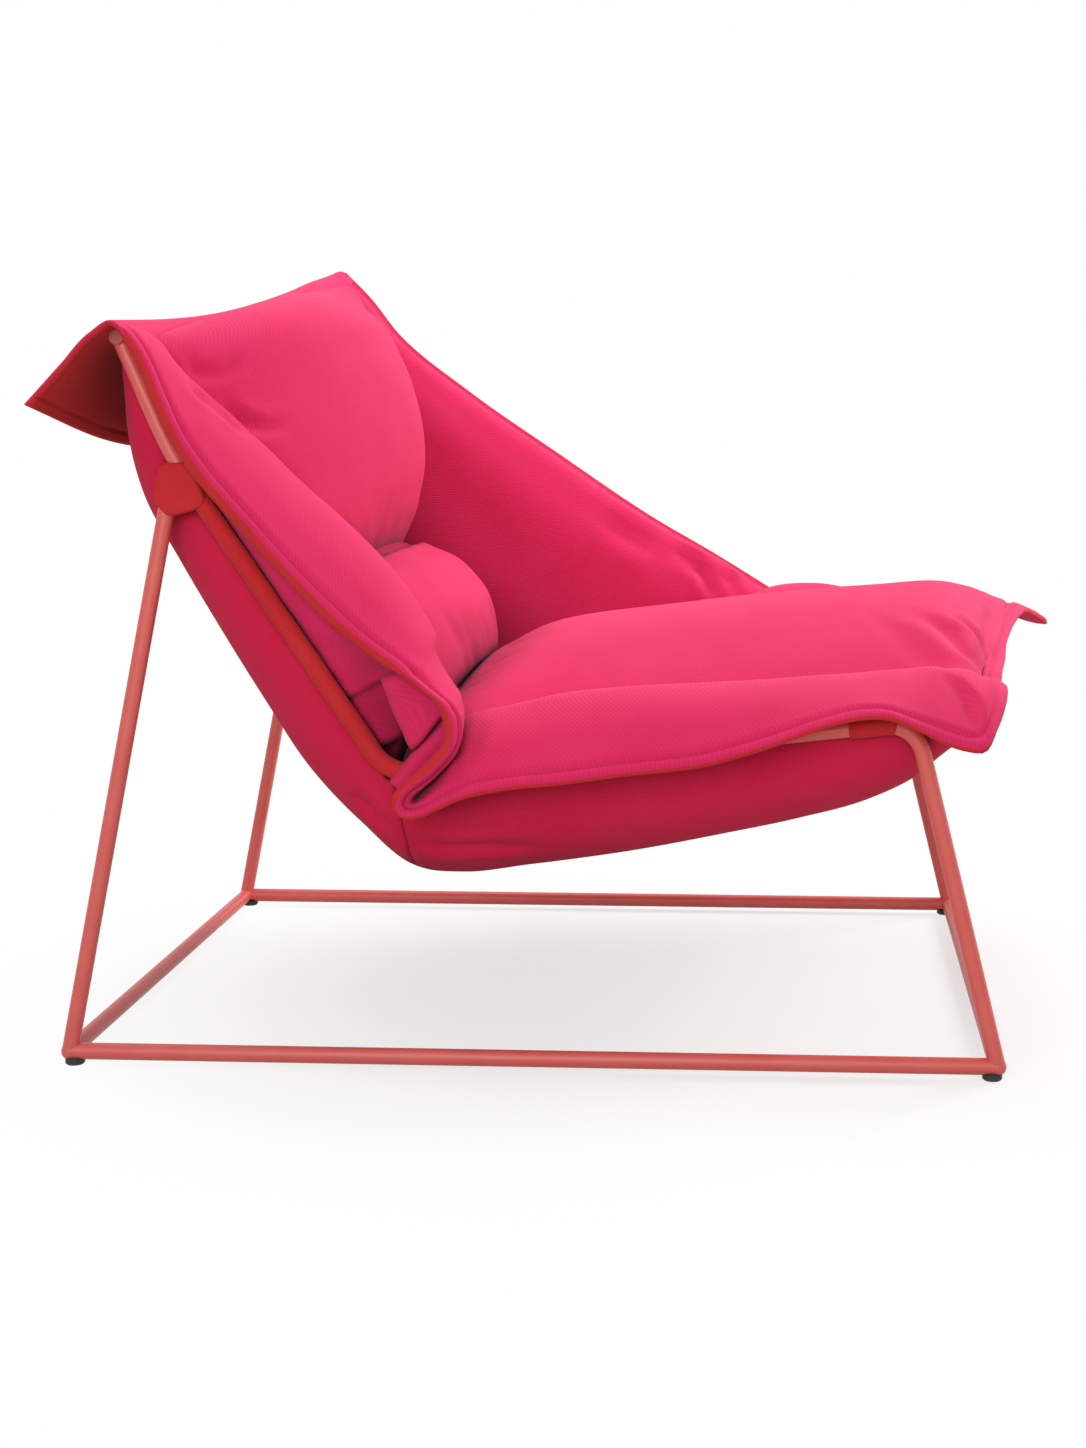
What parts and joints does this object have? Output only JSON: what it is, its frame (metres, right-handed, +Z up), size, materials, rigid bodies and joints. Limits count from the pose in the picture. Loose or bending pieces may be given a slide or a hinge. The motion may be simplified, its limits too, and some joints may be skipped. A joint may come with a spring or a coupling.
{
  "type": "sling chair",
  "caption": "Low lounge chair: a padded cloth seat with loose side wings and a folded head flap, slung in a welded tube frame on a rectangular sled base.",
  "frame": {"origin": "on the floor, under the centre of the chair's outer box", "axes": "+X is the way a sitter faces, +Y is the sitter's left, +Z is up"},
  "size_m": [1.0558, 0.7942, 0.8191],
  "materials": {
    "frame_coat": "satin coral powder coat",
    "frame_cap": "matte coral moulded plastic",
    "glide_rubber": "matte black",
    "screw_steel": "plated",
    "sling_cloth": "pink twill, matte",
    "quilt_cloth": "pink twill over padding, matte",
    "red_canvas": "red canvas, matte"
  },
  "bodies": {
    "root": {"right_front_glide": "glide_rubber", "right_rear_glide": "glide_rubber", "right_bottom_rail": "frame_coat", "right_rear_post": "frame_coat", "right_side_rail": "frame_coat", "right_bar_cap": "frame_cap", "right_back_sleeve": "red_canvas", "right_seat_sleeve": "red_canvas", "right_front_sleeve": "red_canvas", "right_joint_patch": "red_canvas", "left_front_glide": "glide_rubber", "left_rear_glide": "glide_rubber", "left_bottom_rail": "frame_coat", "left_rear_post": "frame_coat", "left_side_rail": "frame_coat", "left_bar_cap": "frame_cap", "left_back_sleeve": "red_canvas", "left_seat_sleeve": "red_canvas", "left_front_sleeve": "red_canvas", "left_joint_patch": "red_canvas", "front_bottom_bar": "frame_coat", "rear_bottom_bar": "frame_coat", "top_bar": "frame_coat", "seat_front_bar": "frame_coat", "foot_screws": "screw_steel", "sling_back_panel": "sling_cloth", "sling_seat_panel": "sling_cloth", "back_pillow": "quilt_cloth", "lumbar_roll": "quilt_cloth", "seat_pad": "quilt_cloth", "right_wing": "quilt_cloth", "right_tuck": "quilt_cloth", "right_bolster": "quilt_cloth", "left_bolster": "quilt_cloth", "left_wing": "quilt_cloth", "front_hem": "quilt_cloth", "head_flap": "red_canvas"}
  },
  "joints": []
}
